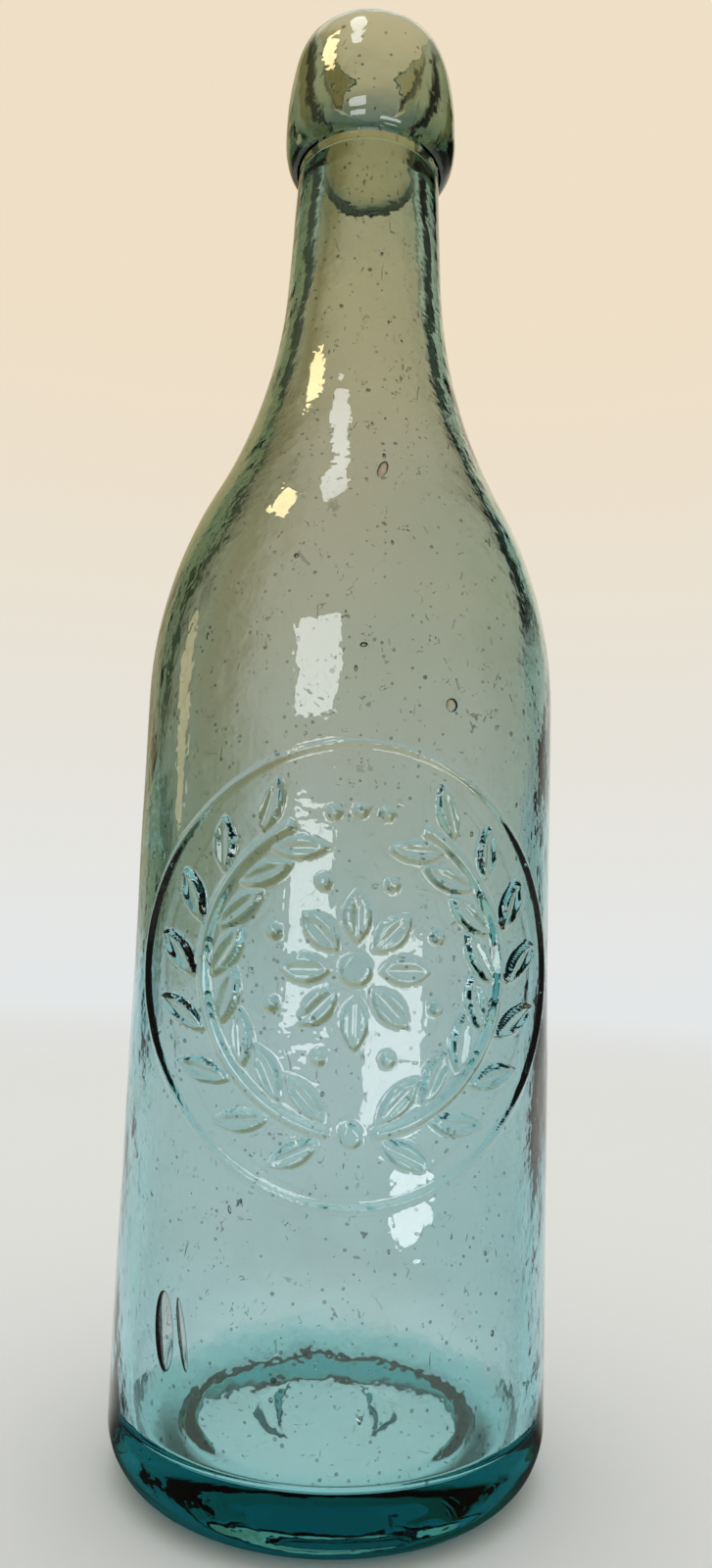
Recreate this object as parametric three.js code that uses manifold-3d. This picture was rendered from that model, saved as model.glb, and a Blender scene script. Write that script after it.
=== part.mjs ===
// An old glass bottle: a mould-blown body with a raised round plate on its front, and a thick lip
// put on the end of the neck by hand. Millimetres, +Z up, the plate looks towards -Y.
import * as THREE from 'three';
import { mergeVertices } from 'three/addons/utils/BufferGeometryUtils.js';
import Module from 'manifold-3d';

// Body and shoulder
const BODY_RADIUS = 33.5;
const BODY_WALL = 3.4;
const STRAIGHT_TOP = 118;
const SHOULDER_RADIUS = 72;
const SHOULDER_LENGTH = 75;

// Neck
const BORE_RADIUS = 8.6;
const NECK_LENGTH = 23;
const NECK_WALL = 4;
const NECK_FLARE = 0.7;
const NECK_FOOT_WALL = 4.4;

// Base
const HEEL_HEIGHT = 8.5;
const HEEL_RUN = 7;
const BEARING_WIDTH = 4;
const PUSH_UP = 5;
const POST_MARGIN = 3.5;
const POST_FOOT = 1.6;
const POST_STEP = 0.8;
const POST_STEP_RUN = 0.4;
const FLOOR_THICKNESS = 9.6;
const FLOOR_DOME = 2;
const FLOOR_FILLET = 5;

// Lip
const LIP_HEIGHT = 24;
const LIP_OVERHANG = 2.8;
const LIP_BULGE_HEIGHT = 6;
const LIP_SIDE_PULL = 10;
const LIP_CROWN_PULL = 2.6;
const LIP_LAND = 1.2;
const MOUTH_ROUND = 0.8;

// Plate on the front: an outline ring, a wreath of two branches and a rosette
const PLATE_HEIGHT = 76;
const PLATE_RADIUS = 31.6;
const PLATE_WRAP = THREE.MathUtils.degToRad(65);
const RING_WIDTH = 1.1;
const RING_RELIEF = 0.6;
const RELIEF = 0.8;
const RELIEF_DRAFT = 0.25;
const RELIEF_ROOT = 1;
const RELIEF_SINK = 0.3;
const STEM_RADIUS = 21.5;
const STEM_WIDTH = 0.9;
const STEM_START = THREE.MathUtils.degToRad(10);
const STEM_END = THREE.MathUtils.degToRad(152);
const LEAF_PAIRS = 8;
const LEAF_LENGTH = 8.4;
const LEAF_WIDTH = 3.3;
const LEAF_TILT = THREE.MathUtils.degToRad(36);
const LEAF_GAP = 0.5;
const PETALS = 8;
const PETAL_INNER = 3.4;
const PETAL_LENGTH = 7.4;
const PETAL_WIDTH = 4;
const BOSS_RADIUS = 2.3;
const BEAD_RADIUS = 1.1;
const BEAD_CIRCLE = 12.6;
const CROWN_BEAD_SPACING = THREE.MathUtils.degToRad(10);
const TIE_RADIUS = 1.7;

// Mark under the base: two raised crescents
const CRESCENT_RADIUS = 9;
const CRESCENT_THICKNESS = 3.2;
const CRESCENT_SWEEP = THREE.MathUtils.degToRad(124);
const CRESCENT_RELIEF = 0.7;

// Facets
const AROUND = 48;
const SWEEP_STEPS = 6;
const HEEL_STEPS = 8;
const PUSH_UP_STEPS = 5;
const FLOOR_STEPS = 4;
const FILLET_STEPS = 5;
const LIP_UNDER_STEPS = 5;
const LIP_SIDE_STEPS = 9;
const MOUTH_STEPS = 3;
const RING_STEPS = 48;
const STEM_STEPS = 12;
const LEAF_STEPS = 3;
const BEAD_SIDES = 8;
const CRESCENT_STEPS = 8;
const WELD = 1e-4;

const neckFoot = STRAIGHT_TOP + SHOULDER_LENGTH;
const neckTop = neckFoot + NECK_LENGTH;
const neckRadius = BORE_RADIUS + NECK_WALL;
const footBore = BORE_RADIUS + NECK_FLARE;
const inside = BODY_RADIUS - BODY_WALL;
const lipTop = neckTop + LIP_HEIGHT;
const heelFoot = BODY_RADIUS - HEEL_RUN;
const bearingInner = heelFoot - BEARING_WIDTH;
const postRadius = bearingInner - POST_MARGIN;
const postTop = POST_FOOT + POST_STEP;

const wasm = await Module();
wasm.setup();

function point(r, z) {
  return new THREE.Vector2(r, z);
}

// Points along an arc of an ellipse, without its first point
function arc(centre, radiusR, radiusZ, from, to, steps) {
  const points = [];
  for (let i = 1; i <= steps; i += 1) {
    const angle = from + ((to - from) * i) / steps;
    points.push(point(centre.x + radiusR * Math.cos(angle), centre.y + radiusZ * Math.sin(angle)));
  }
  return points;
}

// The shoulder's round, the hollow sweep that touches both it and the neck, and the neck's taper
function shoulderToNeck(side, round, footRadius, topRadius) {
  const centre = point(side - round, STRAIGHT_TOP);
  const foot = point(footRadius, neckFoot);
  const outward = point(NECK_LENGTH, footRadius - topRadius).normalize();
  const reach = foot.clone().sub(centre);
  const hollow = (reach.lengthSq() - round * round) / (2 * (round - reach.dot(outward)));
  const hollowCentre = foot.clone().addScaledVector(outward, hollow);
  const turn = hollowCentre.clone().sub(centre).angle();
  return [
    point(side, STRAIGHT_TOP),
    ...arc(centre, round, round, 0, turn, SWEEP_STEPS),
    ...arc(hollowCentre, hollow, hollow, turn + Math.PI, outward.angle() + Math.PI, SWEEP_STEPS),
    point(topRadius, neckTop),
  ];
}

function bodyProfile() {
  const floorEdge = inside - FLOOR_FILLET;
  const filletCentre = point(floorEdge, FLOOR_THICKNESS + FLOOR_FILLET);
  const outer = shoulderToNeck(BODY_RADIUS, SHOULDER_RADIUS, footBore + NECK_FOOT_WALL, neckRadius);
  const inner = shoulderToNeck(inside, SHOULDER_RADIUS - BODY_WALL, footBore, BORE_RADIUS);
  return [
    point(0, PUSH_UP),
    ...arc(point(0, postTop), postRadius, PUSH_UP - postTop, Math.PI / 2, 0, PUSH_UP_STEPS),
    point(postRadius + POST_STEP_RUN, POST_FOOT),
    point(bearingInner, 0),
    point(heelFoot, 0),
    ...arc(point(heelFoot, HEEL_HEIGHT), HEEL_RUN, HEEL_HEIGHT, -Math.PI / 2, 0, HEEL_STEPS),
    ...outer,
    ...inner.reverse(),
    point(inside, filletCentre.y),
    ...arc(filletCentre, FLOOR_FILLET, FLOOR_FILLET, 0, -Math.PI / 2, FILLET_STEPS),
    ...arc(point(0, FLOOR_THICKNESS), floorEdge, FLOOR_DOME, 0, Math.PI / 2, FLOOR_STEPS),
  ];
}

function lipProfile() {
  const bulge = neckTop + LIP_BULGE_HEIGHT;
  const widest = neckRadius + LIP_OVERHANG;
  const mouth = BORE_RADIUS + MOUTH_ROUND;
  const land = mouth + LIP_LAND;
  const under = point(neckRadius, bulge);
  const edge = point(mouth, lipTop - MOUTH_ROUND);
  const side = new THREE.CubicBezierCurve(
    point(widest, bulge),
    point(widest, bulge + LIP_SIDE_PULL),
    point(land + LIP_CROWN_PULL, lipTop),
    point(land, lipTop),
  );
  return [
    point(BORE_RADIUS, neckTop),
    point(neckRadius, neckTop),
    ...arc(under, LIP_OVERHANG, LIP_BULGE_HEIGHT, -Math.PI / 2, 0, LIP_UNDER_STEPS),
    ...side.getPoints(LIP_SIDE_STEPS).slice(1),
    point(mouth, lipTop),
    ...arc(edge, MOUTH_ROUND, MOUTH_ROUND, Math.PI / 2, Math.PI, MOUTH_STEPS),
    point(BORE_RADIUS, neckTop),
  ];
}

function solidOf(geometry) {
  const bare = geometry.clone();
  bare.deleteAttribute('normal');
  bare.deleteAttribute('uv');
  const merged = mergeVertices(bare, WELD);
  const vertProperties = new Float32Array(merged.attributes.position.array);
  const triVerts = new Uint32Array(merged.index.array);
  return new wasm.Manifold(new wasm.Mesh({ numProp: 3, vertProperties, triVerts }));
}

function geometryOf(solid) {
  const mesh = solid.getMesh();
  const geometry = new THREE.BufferGeometry();
  const places = new Float32Array(mesh.vertProperties);
  const corners = new Uint32Array(mesh.triVerts);
  geometry.setAttribute('position', new THREE.BufferAttribute(places, 3));
  geometry.setIndex(new THREE.BufferAttribute(corners, 1));
  geometry.computeVertexNormals();
  return geometry;
}

function turned(profile) {
  return new THREE.LatheGeometry(profile, AROUND).rotateX(Math.PI / 2);
}

function outerRadius(z) {
  const over = Math.max(0, z - STRAIGHT_TOP);
  return BODY_RADIUS - SHOULDER_RADIUS + Math.sqrt(SHOULDER_RADIUS ** 2 - over ** 2);
}

// A flat drawing raised out of the front of the body, its sides leaning in by the draft
function raised(shape, relief) {
  const geometry = new THREE.ExtrudeGeometry(shape, {
    depth: RELIEF_ROOT,
    bevelThickness: relief + RELIEF_SINK,
    bevelSize: RELIEF_DRAFT,
    bevelOffset: -RELIEF_DRAFT,
    bevelSegments: 1,
    curveSegments: 1,
  });
  const place = geometry.attributes.position;
  for (let i = 0; i < place.count; i += 1) {
    const z = PLATE_HEIGHT + place.getY(i);
    const angle = Math.asin((place.getX(i) / PLATE_RADIUS) * Math.sin(PLATE_WRAP));
    const r = outerRadius(z) - RELIEF_SINK - RELIEF_ROOT + place.getZ(i);
    place.setXYZ(i, r * Math.sin(angle), -r * Math.cos(angle), z);
  }
  return solidOf(geometry);
}

function onCircle(radius, angle) {
  return point(radius * Math.sin(angle), -radius * Math.cos(angle));
}

function band(radius, width, from, to, steps) {
  const points = [];
  for (let i = 0; i <= steps; i += 1) {
    points.push(onCircle(radius + width / 2, from + ((to - from) * i) / steps));
  }
  for (let i = steps; i >= 0; i -= 1) {
    points.push(onCircle(radius - width / 2, from + ((to - from) * i) / steps));
  }
  return new THREE.Shape(points);
}

function circle(radius, sides) {
  const points = [];
  for (let i = 0; i < sides; i += 1) {
    points.push(onCircle(radius, (2 * Math.PI * i) / sides));
  }
  return points;
}

function disc(centre, radius) {
  return new THREE.Shape(circle(radius, BEAD_SIDES).map((corner) => corner.add(centre)));
}

// A pointed leaf from its foot towards a direction
function leaf(foot, direction, length, width) {
  const along = direction.clone().normalize();
  const across = point(-along.y, along.x);
  const points = [];
  for (const side of [1, -1]) {
    for (let i = 0; i < LEAF_STEPS; i += 1) {
      const share = side > 0 ? i / LEAF_STEPS : 1 - i / LEAF_STEPS;
      const half = (side * width * Math.sin(Math.PI * share)) / 2;
      points.push(foot.clone().addScaledVector(along, length * share).addScaledVector(across, half));
    }
  }
  return new THREE.Shape(points);
}

function wreath() {
  const shapes = [];
  for (const side of [1, -1]) {
    shapes.push(band(STEM_RADIUS, STEM_WIDTH, side * STEM_START, side * STEM_END, STEM_STEPS));
    for (let i = 0; i < LEAF_PAIRS; i += 1) {
      const share = i / (LEAF_PAIRS - 1);
      const angle = side * THREE.MathUtils.lerp(STEM_START, STEM_END - STEM_START, share);
      const onwards = point(Math.cos(angle), Math.sin(angle)).multiplyScalar(side);
      for (const lean of [1, -1]) {
        const off = STEM_RADIUS + lean * (STEM_WIDTH / 2 + LEAF_GAP);
        const direction = onwards.clone().rotateAround(point(0, 0), -lean * side * LEAF_TILT);
        shapes.push(leaf(onCircle(off, angle), direction, LEAF_LENGTH, LEAF_WIDTH));
      }
    }
  }
  for (const step of [-1, 0, 1]) {
    shapes.push(disc(onCircle(STEM_RADIUS, Math.PI + step * CROWN_BEAD_SPACING), BEAD_RADIUS));
  }
  shapes.push(disc(onCircle(STEM_RADIUS, 0), TIE_RADIUS));
  return shapes;
}

function rosette() {
  const shapes = [disc(point(0, 0), BOSS_RADIUS)];
  for (let i = 0; i < PETALS; i += 1) {
    const angle = (2 * Math.PI * i) / PETALS;
    const out = onCircle(1, angle);
    shapes.push(leaf(out.clone().multiplyScalar(PETAL_INNER), out, PETAL_LENGTH, PETAL_WIDTH));
    shapes.push(disc(onCircle(BEAD_CIRCLE, angle + Math.PI / PETALS), BEAD_RADIUS));
  }
  return shapes;
}

function plateRing() {
  const ring = new THREE.Shape(circle(PLATE_RADIUS, RING_STEPS));
  ring.holes.push(new THREE.Path(circle(PLATE_RADIUS - RING_WIDTH, RING_STEPS).reverse()));
  return ring;
}

// A crescent raised downwards out of the hollow under the base
function crescent(side) {
  const outer = [];
  const inner = [];
  for (let i = 0; i <= CRESCENT_STEPS; i += 1) {
    const share = i / CRESCENT_STEPS;
    const angle = (side * Math.PI) / 2 + CRESCENT_SWEEP * (share - 0.5);
    outer.push(onCircle(CRESCENT_RADIUS, angle));
    inner.push(onCircle(CRESCENT_RADIUS - CRESCENT_THICKNESS * Math.sin(Math.PI * share), angle));
  }
  const outline = new THREE.Shape([...outer, ...inner.slice(1, -1).reverse()]);
  const domeShare = Math.sqrt(1 - (CRESCENT_RADIUS / postRadius) ** 2);
  const low = postTop + (PUSH_UP - postTop) * domeShare - CRESCENT_RELIEF;
  const depth = CRESCENT_RELIEF + RELIEF_ROOT;
  const geometry = new THREE.ExtrudeGeometry(outline, { depth, bevelEnabled: false });
  return solidOf(geometry.translate(0, 0, low));
}

let glass = solidOf(turned(bodyProfile()));
glass = glass.add(raised(plateRing(), RING_RELIEF));
for (const shape of [...wreath(), ...rosette()]) {
  glass = glass.add(raised(shape, RELIEF));
}
for (const side of [1, -1]) {
  glass = glass.add(crescent(side));
}

const aqua = { roughness: 0.08, metalness: 0 };
const body = new THREE.Mesh(
  geometryOf(glass),
  new THREE.MeshStandardMaterial({ ...aqua, color: 0x9fcac4 }),
);
body.name = 'bottle_body';

const lip = new THREE.Mesh(
  turned(lipProfile()),
  new THREE.MeshStandardMaterial({ ...aqua, color: 0xa9cbbd }),
);
lip.name = 'blob_lip';

const bottle = new THREE.Group();
bottle.name = 'blob_top_bottle';
bottle.add(body, lip);

export default bottle;
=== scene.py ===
"""Looks of an old aqua glass bottle with a thick lip put on by hand, built around its packed solids."""
import math
import random

import bpy
import numpy as np
from mathutils import Matrix, Vector


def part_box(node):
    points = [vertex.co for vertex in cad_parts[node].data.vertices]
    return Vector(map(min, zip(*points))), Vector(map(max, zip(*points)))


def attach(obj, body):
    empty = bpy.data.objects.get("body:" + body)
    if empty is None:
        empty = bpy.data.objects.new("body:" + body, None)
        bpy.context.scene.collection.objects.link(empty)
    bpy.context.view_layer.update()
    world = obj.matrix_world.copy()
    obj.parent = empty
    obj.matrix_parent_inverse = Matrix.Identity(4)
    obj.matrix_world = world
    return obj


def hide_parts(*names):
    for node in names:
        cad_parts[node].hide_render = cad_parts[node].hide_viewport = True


bl_info = {
    "name": "Blob top bottle",
    "version": (1, 0, 0),
    "blender": (4, 5, 0),
    "location": "View3D > Sidebar > Bottle",
    "description": "Models an old aqua glass bottle, its applied lip and a plain studio",
    "category": "Add Mesh",
}

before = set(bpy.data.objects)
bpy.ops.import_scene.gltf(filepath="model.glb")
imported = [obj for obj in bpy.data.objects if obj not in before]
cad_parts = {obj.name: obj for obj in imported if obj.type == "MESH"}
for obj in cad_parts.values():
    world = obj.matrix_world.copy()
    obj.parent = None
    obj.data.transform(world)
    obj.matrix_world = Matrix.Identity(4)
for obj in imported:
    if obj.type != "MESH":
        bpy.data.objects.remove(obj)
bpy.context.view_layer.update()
_, BODY_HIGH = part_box("bottle_body")
LIP_LOW, LIP_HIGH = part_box("blob_lip")

MM = 0.001
TURNS_AROUND = 160
MERGE_DISTANCE = 1e-6
SMOOTH_BELOW = math.radians(55)
WHITE = (1.0, 1.0, 1.0, 1.0)

JOIN_GAP = 0.03 * MM  # the neck and the lip each stop this far from their shared seat
JOIN_REACH = 3 * JOIN_GAP  # how far from the seat a face belongs to the joint
FLOOR_DROP = 0.05 * MM  # keeps the floor out of the plane of the bearing ring

# How finely each stretch of the outlines is cut.
BODY_CUTS = {
    "hollow": 44, "step": 10, "bearing": 2, "heel": 16, "low side": 11, "plate": 52,
    "high side": 3, "rim": 2, "inner side": 26, "fillet": 8, "floor": 12,
}
LIP_CUTS = {"seat": 4, "swell": 12, "side": 24, "land": 2, "mouth": 9, "bore": 18}
ROOM_CUTS = {"floor": 12, "cove": 12, "wall": 4, "roof": 16}
OUTER_SPACING, INNER_SPACING, LOOKUP_SPACING = 2.6 * MM, 3.6 * MM, 2 * MM
PLATE_MARGIN = 2 * MM  # fine cuts go on this far past the plate
PLATE_CUTS = 3

# Waves of the hand-made faces: vertex group, how far they push and how wide they are.
BODY_WAVES = (
    ("outside", 0.45 * MM, 42 * MM),
    ("outside", 0.13 * MM, 9 * MM),
    ("inside", 1.5 * MM, 38 * MM),
    ("inside", 0.45 * MM, 13 * MM),
)
LIP_WAVES = (("skin", 0.6 * MM, 16 * MM), ("skin", 0.18 * MM, 5 * MM), ("mouth", 0.25 * MM, 12 * MM))

# Large bubbles: turn from the front and height in degrees and mm, share of the way out through the wall,
# lean in degrees, and half sizes across, through and along the wall in mm.
LARGE_BUBBLES = (
    (-47.0, 26.0, 0.5, -6, (1.9, 0.6, 5.2)),
    (-40.8, 26.4, 0.5, -13, (0.75, 0.4, 4.7)),
    (5.1, 150.0, 0.5, 18, (0.75, 0.28, 1.7)),
    (23.1, 113.5, 0.5, 20, (0.95, 0.32, 1.05)),
    (-0.5, 121.0, 0.6, 80, (0.4, 0.4, 0.6)),
    (-19.7, 134.6, 0.5, 0, (0.4, 0.35, 0.4)),
)
FINEST_BUBBLE, FINE_BUBBLE, PLAIN_BUBBLE = 4, 3, 2  # subdivisions
FINE_FROM = 0.7 * MM  # half length from which a bubble is cut fine
SEED_LEAN = 0.4
BODY_SEEDS, LIP_SEEDS = 130, 26

# Dirt specks: scale of the pattern, share of its cells left clean, widest speck, depth of its colour.
SPECKS = ((230.0, 0.70, 0.10, 0.9), (430.0, 0.55, 0.14, 0.8), (760.0, 0.70, 0.22, 0.7))

COOL, WARM = (0.95, 0.98, 1.0), (1.0, 0.80, 0.42)
WORLD_GREY = (0.3, 0.3, 0.3, 1)
AIM_HEIGHT = 110 * MM
SEEN_THROUGH = 0.2  # share of a light that shows through the glass
# Lights: name, place, width and height, setting that holds the brightness, share of it, tone, shape.
LIGHTS = (
    ("window_low", (-0.205, -0.553, 0.078), (0.23, 0.15), "window", 1.0, COOL, "RECTANGLE"),
    ("window_high", (-0.226, -0.553, 0.320), (0.24, 0.17), "window", 1.0, COOL, "RECTANGLE"),
    ("window_right", (0.129, -0.30, 0.037), (0.167, 0.072), "window", 1.0, COOL, "RECTANGLE"),
    ("low_card", (0.080, -0.128, 0.015), (0.056, 0.022), "window", 1.3, COOL, "ELLIPSE"),
    ("ceiling", (-0.203, -0.286, 1.047), (0.19, 0.26), "ceiling", 1.0, COOL, "ELLIPSE"),
    ("lamp", (-0.55, -0.17, 0.99), (0.20, 0.14), "lamp", 1.0, WARM, "RECTANGLE"),
    ("strip", (-0.867, 0.239, 0.33), (0.18, 0.36), "strip", 1.0, WARM, "ELLIPSE"),
)
SENSOR_WIDTH = 36
NEAREST_SEEN = 10 * MM


def length(name, description, default):
    """A size in metres."""
    return bpy.props.FloatProperty(
        name=name, description=description, default=default, subtype="DISTANCE", unit="LENGTH", precision=5
    )


def angle(name, description, degrees):
    """An angle, given in degrees."""
    return bpy.props.FloatProperty(
        name=name, description=description, default=math.radians(degrees), subtype="ANGLE", unit="ROTATION"
    )


def colour(name, description, default):
    """A linear colour."""
    return bpy.props.FloatVectorProperty(
        name=name, description=description, default=default, subtype="COLOR", size=3, min=0.0, max=1.0
    )


def amount(name, description, default):
    """A plain number."""
    return bpy.props.FloatProperty(name=name, description=description, default=default)


class BodySizes(bpy.types.PropertyGroup):
    """Sizes of the blown body."""

    radius: length("Radius", "Radius of the straight side", BODY_HIGH.x)
    wall: length("Wall", "Thickness of the straight side", 3.4 * MM)
    straight_top: length("Straight top", "Height where the shoulder starts", 118 * MM)
    shoulder_round: length("Shoulder round", "Radius of the shoulder's round", 72 * MM)
    neck_foot: length("Neck foot", "Height where the neck starts", 193 * MM)
    neck_top: length("Neck top", "Height of the end of the neck", BODY_HIGH.z)
    neck_radius: length("Neck radius", "Radius of the neck under the lip", 12.6 * MM)
    foot_radius: length("Neck foot radius", "Radius of the neck at its foot", 13.7 * MM)
    bore: length("Bore", "Radius of the neck's bore under the lip", 8.6 * MM)
    foot_bore: length("Foot bore", "Radius of the bore at the neck's foot", 10.2 * MM)
    heel_height: length("Heel height", "Height of the rounded heel", 8.5 * MM)
    heel_run: length("Heel run", "How far the heel runs in", 7 * MM)
    bearing_width: length("Bearing width", "Width of the ring that the bottle stands on", 4 * MM)
    push_up: length("Push-up", "Height of the hollow under the base", 3.7 * MM)
    post_margin: length("Post margin", "From the bearing ring to the top of the step under the base", 3 * MM)
    post_run: length("Post run", "How far the soft step under the base runs out", 2.6 * MM)
    post_top: length("Post top", "Height of the top of the step under the base", 3 * MM)
    post_foot: length("Post foot", "Height of the foot of the step under the base", 0.5 * MM)
    floor: length("Floor", "Height of the inner floor at its edge", 9 * MM)
    floor_dome: length("Floor dome", "Rise of the inner floor's middle", 0.3 * MM)
    floor_fillet: length("Floor fillet", "Radius of the inner floor's corner", 2 * MM)
    bearing_rise: length("Bearing rise", "Height of the bearing ring's inner edge", 0.25 * MM)
    bearing_round: length("Bearing round", "How far the bearing ring's inner edge is rounded", 1.4 * MM)
    crescent_radius: length("Crescent radius", "Outer radius of the crescents under the base", 11 * MM)
    crescent_width: length("Crescent width", "Width of a crescent at its middle", 4.4 * MM)
    crescent_sweep: angle("Crescent sweep", "Half of the angle that a crescent sweeps", 62)
    crescent_relief: length("Crescent relief", "How far the crescents stand out", 0.5 * MM)
    crescent_edge: length("Crescent edge", "Width of the soft edge of a crescent", 1 * MM)


class PlateSizes(bpy.types.PropertyGroup):
    """Sizes of the raised plate on the front."""

    height: length("Height", "Height of the plate's centre", 76 * MM)
    radius: length("Radius", "Radius of the plate's outline", 31.6 * MM)
    wrap: angle("Wrap", "Half of the angle that the plate wraps", 65)
    relief: length("Relief", "How far the wreath stands out", 1.1 * MM)
    ring_relief: length("Ring relief", "How far the outline ring stands out", 0.5 * MM)
    ring_width: length("Ring width", "Width of the outline ring", 1.4 * MM)
    edge: length("Edge", "Width of the soft edge of the relief", 0.65 * MM)
    stem_radius: length("Stem radius", "Radius of the wreath's stems", 21.5 * MM)
    stem_width: length("Stem width", "Width of the stems", 1.3 * MM)
    stem_start: angle("Stem start", "Angle where the stems start, from the bottom", 10)
    stem_end: angle("Stem end", "Angle where the stems end, from the bottom", 152)
    leaf_pairs: bpy.props.IntProperty(name="Leaf pairs", description="Pairs of leaves on a stem", default=8)
    leaf_length: length("Leaf length", "Length of a leaf", 8.4 * MM)
    leaf_width: length("Leaf width", "Width of a leaf", 3.5 * MM)
    leaf_tilt: angle("Leaf tilt", "Angle of a leaf from its stem", 36)
    leaf_gap: length("Leaf gap", "From a stem to a leaf's foot", 0.5 * MM)
    petals: bpy.props.IntProperty(name="Petals", description="Petals of the rosette", default=8)
    petal_inner: length("Petal inner", "From the centre to a petal's foot", 3.4 * MM)
    petal_length: length("Petal length", "Length of a petal", 7.4 * MM)
    petal_width: length("Petal width", "Width of a petal", 4.2 * MM)
    boss_radius: length("Boss radius", "Radius of the rosette's centre", 2.4 * MM)
    bead_radius: length("Bead radius", "Radius of a bead", 1.2 * MM)
    bead_circle: length("Bead circle", "Radius of the circle of beads", 12.6 * MM)
    bead_spacing: angle("Bead spacing", "Angle between the beads over the wreath", 10)
    tie_radius: length("Tie radius", "Radius of the bead where the stems meet", 1.8 * MM)


class LipSizes(bpy.types.PropertyGroup):
    """Sizes of the applied lip."""

    radius: length("Radius", "Widest radius of the lip", LIP_HIGH.x)
    seat: length("Seat", "Height of the end of the neck", LIP_LOW.z)
    top: length("Top", "Height of the top of the lip", LIP_HIGH.z)
    bulge: length("Bulge", "Height of the widest place above the seat", 6 * MM)
    side_pull: length("Side pull", "How long the side stays upright", 10 * MM)
    crown_pull: length("Crown pull", "How far the crown stays level", 2.6 * MM)
    land: length("Land", "Width of the level top", 0.6 * MM)
    mouth_round: length("Mouth round", "Radius of the mouth's edge", 1.6 * MM)


class GlassLook(bpy.types.PropertyGroup):
    """Colour and finish of the glass."""

    absorbs: colour("Absorption colour", "Colour that a thick run of the body keeps", (0.0, 0.655, 0.680))
    density: amount("Absorption density", "How strongly the body absorbs, per metre", 110.0)
    lip_absorbs: colour("Lip absorption", "Colour that a thick run of the lip keeps", (0.09, 0.38, 0.26))
    lip_density: amount("Lip absorption density", "How strongly the lip absorbs, per metre", 70.0)
    # These tints paint the warm, dim room seen through the glass into the glass itself: browner and darker
    # towards the top.
    low_tint: colour("Low tint", "Tint of the stained glass near the base", (0.985, 0.90, 0.89))
    shoulder_tint: colour("Shoulder tint", "Tint of the stained glass at the shoulder", (0.95, 0.785, 0.72))
    neck_tint: colour("Neck tint", "Tint of the stained glass at the neck", (0.985, 0.78, 0.65))
    lip_tint: colour("Lip tint", "Tint of the stained glass of the lip", (0.82, 0.745, 0.555))
    stain: colour("Stain", "Colour of the thin stain on the glass", (0.80, 0.78, 0.72))
    dirt: colour("Dirt", "Colour of the specks and scratches", (0.06, 0.05, 0.035))
    index: amount("Index", "Refractive index of soda glass", 1.52)
    seat: length("Seat", "Height where the lip is fused to the neck", LIP_LOW.z)


class StudioLook(bpy.types.PropertyGroup):
    """Camera, backdrop and lights."""

    distance: length("Distance", "From the bottle's axis to the camera", 180 * MM)
    height: length("Height", "Height of the camera", 82.3 * MM)
    turn: angle("Turn", "Camera's turn about the axis, against the plate", -3.24)
    yaw: angle("Yaw", "Camera's aim away from the axis", -0.43)
    lift: angle("Lift", "How far the camera looks up", 7.33)
    roll: angle("Roll", "Camera's roll", 1.92)
    lens: amount("Lens", "Focal length in millimetres on a 36 mm long side", 24.75)
    paint: colour("Floor paint", "Colour of the floor, cool against the warm light", (0.79, 0.85, 0.91))
    # Painted light: the floor that the glass shows is a glowing pane of this colour and brightness.
    floor: colour("Floor", "Colour of the floor as the glass shows it", (0.80, 0.82, 0.82))
    floor_level: amount("Floor level", "Brightness of the floor as the glass shows it", 0.95)
    low: colour("Low backdrop", "Colour of the backdrop at the floor", (0.78, 0.80, 0.80))
    middle: colour("Middle backdrop", "Colour of the backdrop at eye height", (0.79, 0.77, 0.71))
    upper: colour("Upper backdrop", "Colour of the backdrop high up", (0.86, 0.74, 0.57))
    # Painted shade: the front's brightness where the glass mirrors it.
    front: amount("Front", "Brightness of the tent's front in reflections, against the back", 0.15)
    roof: amount("Roof", "How much brighter the tent's roof is", 0.8)
    # Painted shade: the flags are dark bands that only the glass sees.
    left_painted_flag: amount("Left flag", "How dark the flag on the left is near the floor", 0.45)
    right_painted_flag: amount("Right flag", "How dark the flag on the right is near the floor", 0.2)
    # Painted shade: the glass shows the roof in this dark colour.
    overhead: colour("Overhead", "Colour that the glass shows from overhead", (0.24, 0.31, 0.32))
    left_shade: colour("Left shade", "Colour that the glass shows on the left", (0.60, 0.54, 0.36))
    window: amount("Windows", "Brightness of the window lights", 7.4)
    ceiling: amount("Ceiling", "Brightness of the ceiling light", 5.8)
    lamp: amount("Lamp", "Brightness of the small warm lamp", 13.0)
    strip: amount("Strip", "Brightness of the tall warm strip on the left", 2.4)


def switch(mode):
    """Goes into edit or object mode."""
    bpy.ops.object.mode_set(mode=mode)


def deselect_all():
    """Leaves edit mode and selects nothing."""
    if bpy.context.object is not None and bpy.context.object.mode != "OBJECT":
        switch("OBJECT")
    bpy.ops.object.select_all(action="DESELECT")


def arc(centre, radius_r, radius_z, start, end, steps):
    """Points along an arc of an ellipse, without its first point."""
    turns = [start + (end - start) * i / steps for i in range(1, steps + 1)]
    return [(centre[0] + radius_r * math.cos(t), centre[1] + radius_z * math.sin(t)) for t in turns]


def bend(start, end, steps, shape):
    """Points from start to end, without its first point, whose height follows a shape from 0 to 1."""
    shares = [i / steps for i in range(1, steps + 1)]
    run, rise = end[0] - start[0], end[1] - start[1]
    return [(start[0] + run * share, start[1] + rise * float(shape(share))) for share in shares]


def line(start, end, steps):
    """Points along a straight line, without its first point."""
    return bend(start, end, steps, lambda share: share)


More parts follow.
